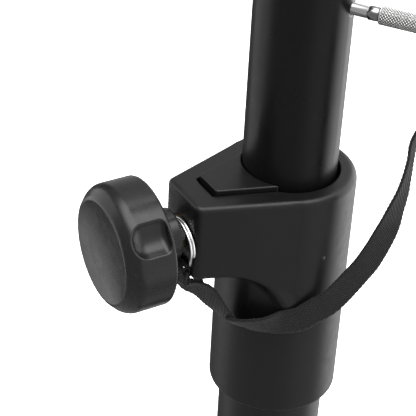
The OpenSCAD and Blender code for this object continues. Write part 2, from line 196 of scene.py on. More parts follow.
def make_piece(name, points, faces, look, body, slot, replaces=(), normals=None):
    """A mesh piece from points in millimetres, riding on a CAD body (None leaves it free)."""
    mesh = bpy.data.meshes.new(name)
    mesh.from_pydata(np.asarray(points, float) * MM, [], faces)
    mesh.shade_smooth()
    if normals is not None:
        mesh.normals_split_custom_set_from_vertices(normals)
    mesh.materials.append(look.material)
    piece = bpy.data.objects.new(name, mesh)
    bpy.context.scene.collection.objects.link(piece)
    if body:
        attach(piece, body)
    if replaces:
        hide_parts(*replaces)
    return piece


def unit(v):
    v = np.asarray(v, float)
    return v / np.linalg.norm(v, axis=-1, keepdims=True)


def round_max(a, b, r):
    """Intersection of two distance fields, with their shared edge rounded by radius r."""
    return np.minimum(-r, np.maximum(a, b)) + np.hypot(np.maximum(a + r, 0), np.maximum(b + r, 0))


def round_min(a, b, r):
    """Union of two distance fields, with a fillet of radius r."""
    return -round_max(-a, -b, r)


def ease(x, low, high):
    """0 below low, 1 above high and smooth between them."""
    t = np.clip((x - low) / (high - low), 0, 1)
    return t * t * (3 - 2 * t)


def slope_of(field, points, step):
    """The field's gradient at each point."""
    parts = []
    for axis in range(3):
        shift = np.zeros(3)
        shift[axis] = step
        parts.append((field(points + shift) - field(points - shift)) / (2 * step))
    return np.stack(parts, axis=-1)


def field_surface(field, low, high, cell):
    """Points, quads and normals of the surface where the distance field is zero.

    One vertex is put in every grid cell that the surface crosses, and then moved onto it.
    """
    axes = [np.arange(a - 2 * cell, b + 3 * cell, cell) for a, b in zip(low, high)]
    value = field(np.stack(np.meshgrid(*axes, indexing="ij"), axis=-1))
    inside = value < 0
    corners = [(i, j, k) for i in (0, 1) for j in (0, 1) for k in (0, 1)]
    counts = sum(inside[i:inside.shape[0] - 1 + i, j:inside.shape[1] - 1 + j, k:inside.shape[2] - 1 + k]
                 .astype(np.int8) for i, j, k in corners)
    active = np.argwhere((counts > 0) & (counts < 8))
    number = np.full(counts.shape, -1)
    number[tuple(active.T)] = np.arange(len(active))
    start = np.array([a[0] for a in axes])
    values = np.stack([value[tuple((active + c).T)] for c in corners], axis=-1)
    total = np.zeros((len(active), 3))
    hits = np.zeros(len(active))
    for a, b in [(a, b) for a in range(8) for b in range(a + 1, 8)
                 if sum(abs(p - q) for p, q in zip(corners[a], corners[b])) == 1]:
        va, vb = values[:, a], values[:, b]
        cross = (va < 0) != (vb < 0)
        share = np.where(cross, va / np.where(cross, va - vb, 1), 0)[:, None]
        total += cross[:, None] * (np.array(corners[a]) * (1 - share) + np.array(corners[b]) * share)
        hits += cross
    points = start + (active + total / hits[:, None]) * cell
    for _ in range(4):
        slope = slope_of(field, points, cell * 0.05)
        size = np.maximum((slope ** 2).sum(-1), 0.2)
        points = points - np.clip(field(points) / size, -cell / 2, cell / 2)[:, None] * slope
    normals = unit(slope_of(field, points, cell * 0.2) + 1e-9)
    quads = []
    for axis in range(3):
        u, v = (axis + 1) % 3, (axis + 2) % 3
        here = [slice(1, -1)] * 3
        there = list(here)
        there[axis] = slice(2, None)
        a, b = inside[tuple(here)], inside[tuple(there)]
        spots = np.argwhere(a != b) + 1
        outward = a[tuple((spots - 1).T)]
        around = []
        for du, dv in ((1, 1), (0, 1), (0, 0), (1, 0)):
            cells = spots.copy()
            cells[:, u] -= du
            cells[:, v] -= dv
            around.append(number[tuple(cells.T)])
        quad = np.stack(around, axis=-1)
        quads.append(np.where(outward[:, None], quad, quad[:, ::-1]))
    return points, np.concatenate(quads), normals


def field_piece(name, field, node, cell, look, body, slot):
    """A piece that stands for a CAD node, from a distance field that is searched over that node's box."""
    points, quads, normals = field_surface(field, *box_mm(node), cell)
    make_piece(name, points, quads, look, body, slot, (node,), normals)


def grid_faces(rows, columns):
    """Quads of a tube of rows of vertices, each row a closed ring of that many columns."""
    r, c = np.meshgrid(np.arange(rows - 1), np.arange(columns), indexing="ij")
    c2 = (c + 1) % columns
    here, above = r * columns, (r + 1) * columns
    return np.stack([here + c, here + c2, above + c2, above + c], axis=-1).reshape(-1, 4).tolist()


def capped(rows, columns):
    """The faces of such a tube with both its ends closed."""
    last = (rows - 1) * columns
    return [*grid_faces(rows, columns), list(range(columns))[::-1], [last + i for i in range(columns)]]


def full_turn(count):
    """That many even steps of angle round a circle, from 0."""
    return np.linspace(0, 2 * math.pi, count, endpoint=False)


def axes_about(direction):
    """Two unit vectors square to a direction, the second as near to +Z as can be."""
    w = unit(direction)
    u = unit(np.cross((0, 0, 1), w))
    return u, np.cross(w, u)


def turned(profile, centre, direction, segments=96):
    """A closed solid of revolution. Profile: (radius, distance along direction), from axis to axis.

    A third value of 1 makes a row hexagonal, with that radius across its flats.
    """
    u, v = axes_about(direction)
    w = unit(direction)
    turn = full_turn(segments)
    rim = np.cos(turn)[:, None] * u + np.sin(turn)[:, None] * v
    points = []
    inner = profile[1:-1]
    flats = 1 / np.cos((turn + math.pi / 6) % (math.pi / 3) - math.pi / 6)
    for radius, along, *six in inner:
        reach = radius * (flats if six and six[0] else np.ones(segments))
        points.append(np.asarray(centre) + w * along + rim * reach[:, None])
    faces = grid_faces(len(inner), segments)
    ends = [np.asarray(centre) + w * profile[0][1], np.asarray(centre) + w * profile[-1][1]]
    points = np.vstack([*points, ends])
    first, last = len(points) - 2, len(points) - 1
    offset = (len(inner) - 1) * segments
    for i in range(segments):
        j = (i + 1) % segments
        faces.append([first, j, i])
        faces.append([last, offset + i, offset + j])
    return points, faces


def swept(path, radius, sides, up):
    """A round wire along a path, with one radius or one for each point. up sets how it is twisted."""
    heading = unit(np.gradient(path, axis=0))
    side = unit(np.cross(heading, np.asarray(up, float)))
    top = np.cross(side, heading)
    turn = full_turn(sides)
    section = np.cos(turn)[None, :, None] * side[:, None] + np.sin(turn)[None, :, None] * top[:, None]
    radii = np.broadcast_to(np.asarray(radius, float), (len(path),))
    points = (path[:, None] + section * radii[:, None, None]).reshape(-1, 3)
    return points, capped(len(path), sides)


def joined(parts):
    """Several (points, faces) as one."""
    points, faces, start = [], [], 0
    for p, f in parts:
        points.append(np.asarray(p, float))
        faces += [[i + start for i in face] for face in f]
        start += len(p)
    return np.concatenate(points), faces


# ------------------------ materials

class Shader:
    """A Principled material, with short calls for the nodes that feed it."""

    def __init__(self, name, colour, roughness, metallic=0.0, specular=0.5):
        self.material = bpy.data.materials.new(name)
        self.material.use_nodes = True
        self.tree = self.material.node_tree
        self.shader = self.tree.nodes["Principled BSDF"]
        self.colour = colour
        self.set("Base Color", (*colour, 1))
        self.set("Roughness", roughness)
        self.set("Metallic", metallic)
        self.set("Specular IOR Level", specular)
        self.place = self.node("ShaderNodeTexCoord").outputs["Object"]

    def set(self, socket, value):
        self.shader.inputs[socket].default_value = value

    def node(self, kind, links=(), inputs=(), **settings):
        made = self.tree.nodes.new(kind)
        for key, value in settings.items():
            setattr(made, key, value)
        for socket, value in dict(inputs).items():
            made.inputs[socket].default_value = value
        for socket, source in dict(links).items():
            self.tree.links.new(source, made.inputs[socket])
        return made

    def feed(self, socket, source):
        self.tree.links.new(source, self.shader.inputs[socket])

    def stretched(self, x, y, z):
        """Object coordinates scaled along each axis."""
        made = self.node("ShaderNodeVectorMath", {0: self.place}, {1: (x, y, z)}, operation="MULTIPLY")
        return made.outputs[0]

    def noise(self, size, detail=3.0, place=None, rough=0.55, distort=0.0):
        """Noise from 0 to 1 whose blobs are about size millimetres across."""
        inputs = {"Scale": 1 / (size * MM), "Detail": detail, "Roughness": rough, "Distortion": distort}
        return self.node("ShaderNodeTexNoise", {"Vector": place or self.place}, inputs).outputs["Fac"]

    def remap(self, source, low, high, to_low, to_high):
        """The source's value, taken from the range low to high into the range to_low to to_high."""
        inputs = {"From Min": low, "From Max": high, "To Min": to_low, "To Max": to_high}
        return self.node("ShaderNodeMapRange", {"Value": source}, inputs, clamp=True).outputs[0]

    def math(self, operation, a, b=None):
        return math_node(self.tree, operation, a, b)

    def blend(self, share, a, b):
        """Colour a where share is 0, and b where it is 1. Each is a colour or a socket."""
        made = self.node("ShaderNodeMix", {0: share}, data_type="RGBA")
        for socket, value in ((6, a), (7, b)):
            if isinstance(value, tuple):
                made.inputs[socket].default_value = (*value, 1)
            else:
                self.tree.links.new(value, made.inputs[socket])
        return made.outputs[2]

    def bump(self, height, distance, strength=1.0):
        """Adds a bump, distance millimetres high, on top of any bump already there."""
        inputs = {"Strength": strength, "Distance": distance * MM}
        made = self.node("ShaderNodeBump", {"Height": height}, inputs)
        if self.shader.inputs["Normal"].links:
            self.tree.links.new(self.shader.inputs["Normal"].links[0].from_socket, made.inputs["Normal"])
        self.feed("Normal", made.outputs[0])

    def height(self):
        """Height above the floor, in metres."""
        return self.node("ShaderNodeSeparateXYZ", {0: self.place}).outputs["Z"]


def grey(value):
    return (value, value, value)


def tinted(value, warm):
    """A near-neutral dark colour, warmer where warm is above 0."""
    return (value * (1 + warm), value, value * (1 - warm))


def tube_paint(name, tone, roughness, specular):
    """Smooth black powder coat: fine orange peel, faint dust and a few light rubs along the tube."""
    s = Shader(name, grey(tone), roughness, specular=specular)
    dust = s.remap(s.noise(0.7, 4), 0.62, 0.8, 0, 1)
    rubs = s.remap(s.noise(2.2, 3, s.stretched(1, 1, 0.04)), 0.55, 0.75, 0, 1)
    s.feed("Base Color", s.blend(s.math("MULTIPLY", dust, 0.5), grey(tone), grey(tone * 2.2 + 0.003)))
    s.feed("Roughness", s.math("ADD", s.remap(s.noise(9, 2), 0.3, 0.7, roughness - 0.03, roughness + 0.04),
                               s.math("MULTIPLY", rubs, 0.05)))
    s.bump(s.noise(1.1, 2), 0.012)
    s.bump(s.noise(0.35, 2), 0.003)
    return s


def moulded(name, tone, roughness, grain=0.45, depth=0.012, specular=0.5, wear=0.5):
    """Injection-moulded plastic: a spark-eroded grain, slow tone changes and paler edges."""
    s = Shader(name, grey(tone), roughness, specular=specular)
    slow = s.noise(11, 3)
    fine = s.noise(grain, 3, rough=0.65)
    edge = s.remap(s.node("ShaderNodeNewGeometry").outputs["Pointiness"], 0.515, 0.58, 0, wear)
    base = s.blend(slow, tinted(tone * 0.86, 0.01), tinted(tone * 1.16, 0.01))
    s.feed("Base Color", s.blend(edge, base, grey(tone * 2.4 + 0.006)))
    s.feed("Roughness", s.remap(s.noise(3.5, 3), 0.3, 0.7, roughness - 0.05, roughness + 0.05))
    s.bump(fine, depth)
    s.bump(s.noise(grain * 6, 2), depth * 1.5, 0.6)
    return s


def bright_metal(name, colour, roughness, streak=0.0, speck=0.35):
    """Plated or bare metal with soft plating waves, handling marks and, if asked, turning lines."""
    s = Shader(name, colour, roughness, metallic=1.0)
    cloudy = s.noise(2.4, 4)
    s.feed("Roughness", s.remap(cloudy, 0.35, 0.75, roughness * 0.7, roughness * 1.6 + 0.03))
    stain = s.remap(s.noise(1.3, 4, rough=0.7), 0.56, 0.78, 0, speck)
    s.feed("Base Color", s.blend(stain, colour, tuple(c * 0.45 for c in colour)))
    s.bump(s.noise(0.5, 3), 0.004)
    if streak:
        s.bump(s.noise(0.12, 1, s.stretched(1, 1, 6)), streak)
    return s


def shaded_hollows(s, tone):
    """Painted shade: a darker colour in a metal's grooves, where its pointiness is low."""
    hollow = s.remap(s.node("ShaderNodeNewGeometry").outputs["Pointiness"], 0.42, 0.51, 1, 0)
    s.feed("Base Color", s.blend(hollow, s.shader.inputs["Base Color"].links[0].from_socket, grey(tone)))
    return s


def rubber(name, tone):
    """Matt moulded rubber, dusted and scuffed towards the floor."""
    s = Shader(name, grey(tone), 0.85, specular=0.3)
    scuff = s.remap(s.noise(1.6, 5, rough=0.7), 0.5, 0.72, 0, 1)
    low = s.remap(s.height(), 0.0, 0.03, 0.75, 0.12)
    s.feed("Base Color", s.blend(s.math("MULTIPLY", scuff, low), grey(tone), (0.11, 0.105, 0.098)))
    s.feed("Roughness", s.remap(scuff, 0, 1, 0.72, 0.95))
    s.bump(s.noise(0.6, 4), 0.03)
    return s


def webbing_cloth():
    """Black cotton webbing: matt yarn with pale stray fibres, over the woven geometry."""
    s = Shader("webbing_cloth", grey(0.008), 0.88, specular=0.2)
    s.set("Sheen Weight", 0.2)
    s.set("Sheen Roughness", 0.45)
    s.set("Sheen Tint", (0.55, 0.55, 0.56, 1))
    fibre = s.remap(s.noise(0.16, 4, rough=0.7), 0.5, 0.8, 0, 1)
    flecks = s.remap(s.noise(0.5, 3, rough=0.75, distort=1.0), 0.62, 0.75, 0, 0.8)
    base = s.blend(fibre, grey(0.004), grey(0.018))
    s.feed("Base Color", s.blend(flecks, base, (0.065, 0.064, 0.062)))
    s.bump(s.noise(0.12, 3, rough=0.7), 0.03)
    return s


mast_paint = tube_paint("mast_paint", 0.0035, 0.3, 0.14)
lower_paint = tube_paint("lower_paint", 0.0045, 0.36, 0.3)
strap_paint = tube_paint("strap_paint", 0.008, 0.36, 0.35)
housing_plastic = moulded("housing_plastic", 0.0042, 0.38, specular=0.28)
trim_plastic = moulded("trim_plastic", 0.005, 0.46, specular=0.28)
shoe_plastic = moulded("shoe_plastic", 0.005, 0.36, specular=0.26, wear=0.8)
knob_plastic = moulded("knob_plastic", 0.0055, 0.27, grain=0.6, depth=0.006, specular=0.34, wear=0.35)
chrome = bright_metal("chrome", (0.27, 0.27, 0.275), 0.1)
ring_steel = bright_metal("ring_steel", (0.72, 0.72, 0.73), 0.14, speck=0.2)
# the knurl's grooves get painted shade, a darker colour where shade falls
knurl_steel = shaded_hollows(bright_metal("knurl_steel", (0.5, 0.5, 0.495), 0.2, speck=0.3), 0.02)
zinc_steel = bright_metal("zinc_steel", (0.56, 0.57, 0.56), 0.32, streak=0.004)
brass = bright_metal("brass", (0.13, 0.095, 0.045), 0.45)
foot_rubber = rubber("foot_rubber", 0.014)
webbing = webbing_cloth()


def paint_pin_holes(s):
    """Bare rims where the pin's holes were drilled through the painted tube, and painted shade: a near-black
    disc over each hole.
    """
    pitch = 100 * MM
    across = (-PIN_DIRECTION[1], PIN_DIRECTION[0], 0)
    dot = s.node("ShaderNodeVectorMath", {0: s.place}, {1: across}, operation="DOT_PRODUCT")
    sideways = dot.outputs["Value"]
    rise = s.math("SUBTRACT", s.height(), PIN_Z * MM)
    rise = s.math("SUBTRACT", rise, s.math("MULTIPLY", s.math("ROUND", s.math("DIVIDE", rise, pitch)), pitch))
    squares = s.math("ADD", s.math("MULTIPLY", sideways, sideways), s.math("MULTIPLY", rise, rise))
    from_axis = s.math("SQRT", squares)
    near = s.remap(s.math("ABSOLUTE", s.math("SUBTRACT", s.height(), PIN_Z * MM)), 0.149, 0.151, 1, 0)
    ragged = s.math("MULTIPLY", s.noise(0.8, 2), 0.35 * MM)
    edge = s.math("ADD", from_axis, ragged)
    bare = s.math("MULTIPLY", s.remap(edge, 3.15 * MM, 3.3 * MM, 1, 0), near)
    # painted shade: a near-black disc in and round each hole, where the tube's hollow inside lies in shade
    dark = s.math("MULTIPLY", s.remap(from_axis, 2.55 * MM, 2.65 * MM, 1, 0), near)
    under = s.shader.inputs["Base Color"].links[0].from_socket
    s.feed("Base Color", s.blend(dark, s.blend(bare, under, (0.07, 0.07, 0.07)), grey(0.002)))
    s.feed("Metallic", s.math("MULTIPLY", bare, s.math("SUBTRACT", 1, dark)))


paint_pin_holes(mast_paint)


# ------------------------ tether

# Points from the knob's ring round the sleeve to the pin's ring, with z measured from
# the clamp's top, and the direction of the strap's width
ROUTE = [
    ((-46.2, -3.6, -28.9), (0, 1, -0.06)),
    ((-46.3, -3.4, -33.8), (-0.1, 0.98, -0.14)),
    ((-42, -4.6, -37.9), (-0.27, 0.74, -0.62)),
    ((-37.4, -6.2, -41.1), (-0.38, 0.74, -0.55)),
    ((-32.7, -7.8, -48.1), (-0.3, 0.88, -0.38)),
    ((-28.6, -8.8, -53.9), (0, 0.9, -0.43)),
    ((-27.3, -11.1, -55.1), (0.63, 0.37, -0.69)),
    ((-25.8, -14.3, -54.3), (0.64, 0.31, -0.7)),
    ((-22.7, -17.8, -53.8), (0.47, 0.34, -0.81)),
    ((-18.9, -20.8, -53), (0.3, 0.3, -0.9)),
    ((-12.9, -22.9, -52.2), (0.19, -0.02, -0.98)),
    ((-7, -25.6, -50.9), (0.39, -0.2, -0.9)),
    ((-2.3, -27.5, -47.7), (0.54, -0.26, -0.8)),
    ((2.7, -28.9, -44.7), (0.68, -0.27, -0.68)),
    ((7, -31.4, -38), (0.81, -0.24, -0.54)),
    ((10.4, -33.2, -31.8), (0.83, -0.21, -0.52)),
    ((13.7, -35, -25.1), (0.86, -0.17, -0.48)),
    ((16.6, -36.4, -18), (0.92, -0.1, -0.39)),
    ((18.5, -37.3, -11.6), (0.96, -0.03, -0.28)),
    ((19.9, -38.1, -4.9), (0.96, 0.18, -0.19)),
    ((21.2, -38.7, 1.6), (0.94, 0.33, -0.13)),
    ((22, -39.2, 8), (0.86, 0.5, -0.07)),
    ((22.6, -39.5, 14.2), (0.8, 0.6, -0.04)),
    ((23, -39.7, 20.4), (0.76, 0.65, -0.02)),
    ((23.3, -40, 28.4), (0.75, 0.64, -0.13)),
    ((27, -42, 38), (0.72, 0.65, -0.05)),
    ((32.2, -45, 47.2), (0.7, 0.65, 0)),
]
STRAP_W = 10.8
STRAP_T = 1.4
STRAP_STEP = 0.32  # distance between the strap's rows of points
YARN = 0.83        # width of one warp yarn
PICK = 0.95        # length of one pick of the weave
RELIEF = 0.26      # height of the yarns over the strap's core
SELVEDGE = 0.6     # width of the thinner edge
FOLD_T = 0.85      # thickness of the sewn ends, pressed thinner than the strap
STITCH_R = 0.15


def smooth_line(points, per_span):
    """Catmull-Rom curve through points of any dimension, with its own end tangents."""
    p = np.asarray(points, float)
    p = np.vstack([2 * p[0] - p[1], p, 2 * p[-1] - p[-2]])
    t = np.linspace(0, 1, per_span, endpoint=False)[:, None]
    spans = []
    for a, b, c, d in zip(p, p[1:], p[2:], p[3:]):
        spans.append(0.5 * (2 * b + (c - a) * t + (2 * a - 5 * b + 4 * c - d) * t ** 2
                            + (3 * b - a - 3 * c + d) * t ** 3))
    return np.vstack(spans + [p[-2:-1]])


def ribbon(rows):
    """A strap's centreline, heading, width direction and distance along it, at even steps."""
    fine = smooth_line(rows, 40)
    along = np.concatenate([[0], np.cumsum(np.linalg.norm(np.diff(fine[:, :3], axis=0), axis=1))])
    at = np.linspace(0, along[-1], round(along[-1] / STRAP_STEP) + 1)
    even = np.stack([np.interp(at, along, fine[:, i]) for i in range(6)], axis=-1)
    heading = unit(np.gradient(even[:, :3], axis=0))
    side = even[:, 3:]
    side = unit(side - (side * heading).sum(-1, keepdims=True) * heading)
    return even[:, :3], heading, side, at


def nearest(along, distance):
    """Index of the strap's row that is nearest to a distance along it."""
    return int(np.argmin(np.abs(along - distance)))


def woven_strap(centre, heading, side, along, thick=STRAP_T):
    """Points and faces of a plain-woven strap with serrated selvedges."""
    face = np.cross(heading, side)
    ends = round(STRAP_W / YARN)
    across = np.linspace(-1, 1, ends * 6 + 1)
    u = across * STRAP_W / 2
    v = along[:, None]
    over = np.where(np.floor((u + STRAP_W / 2) / YARN) % 2 == 0, 0.0, math.pi)
    yarn = np.abs(np.sin(math.pi * (u + STRAP_W / 2) / YARN)) ** 0.6
    wave = 0.5 + 0.5 * np.cos(math.pi * v / PICK + over)
    relief = yarn * (0.25 + 0.75 * wave)
    flip = yarn * (0.25 + 0.75 * (1 - wave))
    thin = 1 - 0.75 * np.clip((np.abs(u) - STRAP_W / 2 + SELVEDGE) / SELVEDGE, 0, 1) ** 2
    ragged = 1 + 0.028 * np.abs(np.sin(math.pi * v / (2 * PICK))) * ease(np.abs(across), 0.86, 1.0)
    wander = 0.12 * np.sin(v / 7.3 + 1.1) + 0.09 * np.sin(v / 2.9)
    place = centre[:, None] + side[:, None] * (u * ragged + wander)[..., None]
    core = thick / 2 - 0.22
    top = place + face[:, None] * ((core + RELIEF * relief) * thin)[..., None]
    under = place - face[:, None] * ((core + RELIEF * flip) * thin)[..., None]
    ring = np.concatenate([top, under[:, ::-1]], axis=1)
    rows, columns = ring.shape[:2]
    faces = grid_faces(rows, columns)
    half = columns // 2
    for row, order in ((0, 1), (rows - 1, -1)):
        for i in range(half - 1):
            quad = [row * columns + i, row * columns + i + 1,
                    row * columns + columns - 2 - i, row * columns + columns - 1 - i]
            faces.append(quad[::-order])
    return ring.reshape(-1, 3), faces


def thread_tuft(start, heading, length, rng):
    """One loose yarn that curls away from start and tapers."""
    radius = 0.13
    t = np.linspace(0, 1, 6)[:, None]
    curl = rng.uniform(-0.45, 0.45, 3)
    path = start + length * (t * unit(heading) + t ** 2 * curl)
    return swept(path, radius * (1 - 0.5 * t[:, 0]), 6, (0.3, 0.5, 0.8))


def stitch_row(start, end, lift, count):
    """A row of lock stitches, each one a short raised thread."""
    rows = []
    for i in range(count):
        a, b = (start + (end - start) * (i + share) / count for share in (0.1, 0.9))
        t = np.linspace(0, 1, 7)[:, None]
        path = a + (b - a) * t + lift * (0.24 * np.sin(math.pi * t) - 0.06)
        rows.append(swept(path, STITCH_R, 6, unit(np.cross(end - start, lift))))
    return rows


def sewn_loop(line, wire, tail, seed):
    """The strap's end folded round a ring's wire and sewn down, with a frayed tail.

    The line's arrays run away from the ring. The folded end lies on the strap's face as far as tail.
    """
    rng = np.random.default_rng(seed)
    centre, heading, side, along = line
    face = np.cross(heading, side)
    toward, across, out = -heading[0], side[0], face[0]

    def on_strap(distance, lift):
        i = nearest(along, distance)
        return np.concatenate([centre[i] + face[i] * lift, side[i]])

    above, below = 1.15, -1.1
    rows = [on_strap(d, above) for d in np.arange(tail, 4.5, -1.7)]
    for n, t in ((1.4, -1.8), (1.65, 0), (1.05, 1.05), (0, 1.4), (-1.05, 1.05), (-1.65, 0), (-1.4, -1.8)):
        rows.append(np.concatenate([wire + out * n + toward * t, across]))
    rows += [on_strap(d, below) for d in (4.6, 6.2, 7.8)]
    loop = ribbon(np.array(rows))
    parts = [woven_strap(*loop, thick=FOLD_T)]
    near, far = (on_strap(d, 1.6) for d in (5.2, 10.5))
    lift = face[nearest(along, 8)]
    half = STRAP_W / 2 - 1.3
    corners = [row[:3] + row[3:] * half * k for row, k in ((near, -1), (near, 1), (far, 1), (far, -1))]
    # the four sides of a box and its two diagonals: from, to and how many stitches
    for a, b, count in ((0, 1, 7), (1, 2, 5), (2, 3, 7), (3, 0, 5), (0, 2, 8), (1, 3, 8)):
        parts += stitch_row(corners[a], corners[b], lift, count)
    end, away = on_strap(tail, above), heading[nearest(along, tail)]
    for u in np.linspace(-1, 1, 19) * (STRAP_W / 2 - 0.4):
        lean = away + rng.uniform(-0.5, 0.5, 3) + 0.7 * lift
        parts.append(thread_tuft(end[:3] + end[3:] * u - away * 0.5, lean, rng.uniform(1.2, 3.6), rng))
    return joined(parts)


def add_tether():
    """The strap in two halves, each with its sewn end, left free of the bodies that it joins."""
    rows = np.array([[*place, *side] for place, side in ROUTE], float)
    rows[:, 2] += CLAMP_TOP
    line = ribbon(rows)
    centre, heading, side, along = line
    backwards = (centre[::-1], -heading[::-1], side[::-1], along[-1] - along[::-1])
    middle = nearest(along, along[-1] / 2)
    pin_ring_low, pin_ring_high = box_mm("pin_ring")
    knob_wire = np.array([*RING_CENTRE[:2], RING_CENTRE[2] - RING_R])
    pin_wire = np.array([*(pin_ring_low + pin_ring_high)[:2] / 2, pin_ring_low[2] + WIRE_R])
    halves = {
        "tether_lower": (slice(0, middle + 1), ("stand", "mast"), line, knob_wire, 13.0, 7),
        "tether_upper": (slice(middle, len(along)), ("mast", "pin"), backwards, pin_wire, 15.0, 11),
    }
    made = {}
    for name, (span, bodies, from_ring, wire, tail, seed) in halves.items():
        points, faces = woven_strap(centre[span], heading[span], side[span], along[span])
        replaces = ("tether_strap",) if name == "tether_lower" else ()
        piece = make_piece(name, points, faces, webbing, None, "webbing", replaces)
        path = centre[span][::6]
        if not np.allclose(path[-1], centre[span][-1]):
            path = np.vstack([path, centre[span][-1]])
        start, end = centre[span][0] * MM, centre[span][-1] * MM
        points, faces = sewn_loop(from_ring, wire, tail, seed)
        loop = make_piece(name + "_loop", points, faces, webbing, None, "webbing")
        for cloth in (piece, loop):
            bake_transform(cloth)
        length = np.linalg.norm(np.diff(path, axis=0), axis=1).sum() * MM
        made[name] = (piece, path * MM, start, length, loop)
    return made


add_camera()
add_world()
tether = add_tether()


# ------------------------ clamp

def radial(p):
    return np.hypot(p[..., 0], p[..., 1])


BOSS_W = 22.4         # width of the boss at its outer end
BOSS_H = 31.0         # and its height there
GUSSET_R = 24.0       # radius of the hollow under the boss
GUSSET_X = -35.0      # where that hollow starts
MOUTH_R = 18.6        # the housing's opening round the upper tube
POCKET_END = 35.6     # how far the shoe's pocket reaches from the axis
POCKET_FLOOR = 25.8   # and how deep it is
SHOE_NEAR = 12.4      # where the shoe is SHOE_NEAR_W wide, before it tapers to SHOE_END_W
SHOE_NEAR_W = 26.0
SHOE_END_W = 12.4
SHOE_SIDE = 0.5       # gap between the shoe and its pocket
KNOB_BACK = 58.0      # distance of the knob's back from the axis
SCALLOPS = 3
SCALLOP_R = 8.5
SCALLOP_DEPTH = 3.4
KNOB_LIP = 1.4        # rim that the scallops leave at the knob's back
INSERT_HOLE_R = 6.0
HOUSING_CELL = 0.68   # grid sizes that keep each piece under the triangle limit
FINE_CELL = 0.42


def shoe_outline(x, y, side, end):
    """The shoe's tapered outline seen from above, grown by side."""
    reach = -shoe_low[0]
    slope = (SHOE_NEAR_W - SHOE_END_W) / (reach - SHOE_NEAR) / 2
    steep = math.hypot(1, slope)
    flank = (np.abs(y) - SHOE_NEAR_W / 2 + slope * (-x - SHOE_NEAR)) / steep - side
    return round_max(flank, -x - end, 0.6)


def housing_field(p):
    """The sleeve with its boss, gusset and nub, less the bore, the shoe's pocket and the insert's hole."""
    x, y, z = p[..., 0], p[..., 1], p[..., 2] - CLAMP_TOP
    r = radial(p)
    corner = (-BOSS_REACH, BOSS_W / 2)
    touch = math.atan2(corner[1], corner[0]) - math.acos(SLEEVE_R / math.hypot(*corner))
    flank = x * math.cos(touch) + np.abs(y) * math.sin(touch) - SLEEVE_R
    outline = np.maximum(round_max(flank, -x - BOSS_REACH, 2.2), x - SLEEVE_R * math.cos(touch))
    under = GUSSET_R - np.hypot(np.maximum(x - GUSSET_X, 0), np.maximum(z + BOSS_H + GUSSET_R, 0))
    under = np.maximum(under, -z - BOSS_H - GUSSET_R + 4)
    boss = round_max(outline, under, 1.6)
    fillet = 0.05 + 2.4 * np.clip((under + 5) / 5, 0, 1)
    body = round_min(r - SLEEVE_R, boss, fillet)
    body = round_max(body, z, 1.9 + 1.6 * ease(x, -4, 20))
    body = round_max(body, -z - SLEEVE_H, 0.9)
    nub = np.sqrt((x - 0.9) ** 2 + (y + SLEEVE_R - 0.5) ** 2 + (z + 26.2) ** 2) - 0.95
    body = round_min(body, nub, 0.3)
    bore = np.maximum(r - LOWER_R - 0.04, z - LOWER_HEAD)
    hole = np.minimum(bore, r - MOUTH_R)
    pocket = round_max(shoe_outline(x, y, SHOE_SIDE, POCKET_END), -z - POCKET_FLOOR, 0.6)
    hole = np.minimum(hole, np.maximum(pocket, x + 8))
    nut = np.maximum(np.hypot(y, p[..., 2] - SCREW_Z) - INSERT_HOLE_R, x + POCKET_END - 1)
    hole = np.minimum(hole, nut)
    return round_max(body, -hole, 0.5)


def shoe_field(p):
    """The wedge shoe, hollowed to fit the upper tube."""
    x, y, z = p[..., 0], p[..., 1], p[..., 2]
    outline = shoe_outline(x, y, 0, -shoe_low[0])
    body = round_max(outline, UPPER_R + 0.25 - radial(p), 0.3)
    body = round_max(body, z - shoe_high[2], 0.5)
    return round_max(body, shoe_low[2] - z, 0.5)


def knob_field(centre_z, back, thick, radius, hub_r, hub_back, bore_end):
    """Round knob on -X: lipped back, bevelled shoulder, dished face and three thumb scallops."""
    def field(p):
        s = -p[..., 0] - back
        y, z = p[..., 1], p[..., 2] - centre_z
        rho = np.hypot(y, z)
        dish = 1.5 * np.clip(1 - (rho / (radius - 4.6)) ** 2, 0, 1) ** 0.8
        face = s - thick + dish
        bevel = (rho - (radius - 4.1)) * 0.7 + (s - (thick - 0.1)) * 0.71
        body = round_max(rho - radius, -s, 1.0)
        body = round_max(body, bevel, 1.6)
        body = round_max(body, face, 0.7)
        for i in range(SCALLOPS):
            turn = math.radians(37 + 360 / SCALLOPS * i)
            away_y, away_z = -math.cos(turn), math.sin(turn)
            out = radius + SCALLOP_R - SCALLOP_DEPTH
            axial = np.maximum(s - (thick - 8.5), 0)
            cut = np.sqrt((y - out * away_y) ** 2 + (z - out * away_z) ** 2 + axial ** 2) - SCALLOP_R
            cut = round_max(cut, KNOB_LIP - s, 2.4)
            body = round_max(body, -cut, 0.45)
        hub = round_max(rho - hub_r, np.maximum(-s - hub_back, s - 3), 0.6)
        body = round_min(body, hub, 0.5)
        return np.maximum(body, np.minimum(3.95 - rho, bore_end - s))
    return field


def threaded_rod(name, box, z, body, replaces):
    """A screw along -X at height z, as long as its CAD node's box, with its thread and chamfered ends."""
    low, high = -box[1][0], -box[0][0]
    depth, around, per_pitch = 0.62, 48, 10
    rows = round((high - low) / SCREW_PITCH * per_pitch) + 1
    reach = np.linspace(low, high, rows)
    turn = full_turn(around)
    phase = (reach[:, None] / SCREW_PITCH - turn[None, :] / (2 * math.pi)) % 1
    groove = np.clip(1.25 * np.abs(2 * phase - 1) - 0.12, 0, 1)
    end = np.minimum(reach - low, high - reach)[:, None]
    r = np.minimum(SCREW_R - depth * (1 - groove), SCREW_R - 0.9 + end)
    x = np.broadcast_to(-reach[:, None], r.shape)
    points = np.stack([x, -r * np.cos(turn), z + r * np.sin(turn)], axis=-1).reshape(-1, 3)
    make_piece(name, points, capped(rows, around), zinc_steel, body, "zinc_steel", replaces)


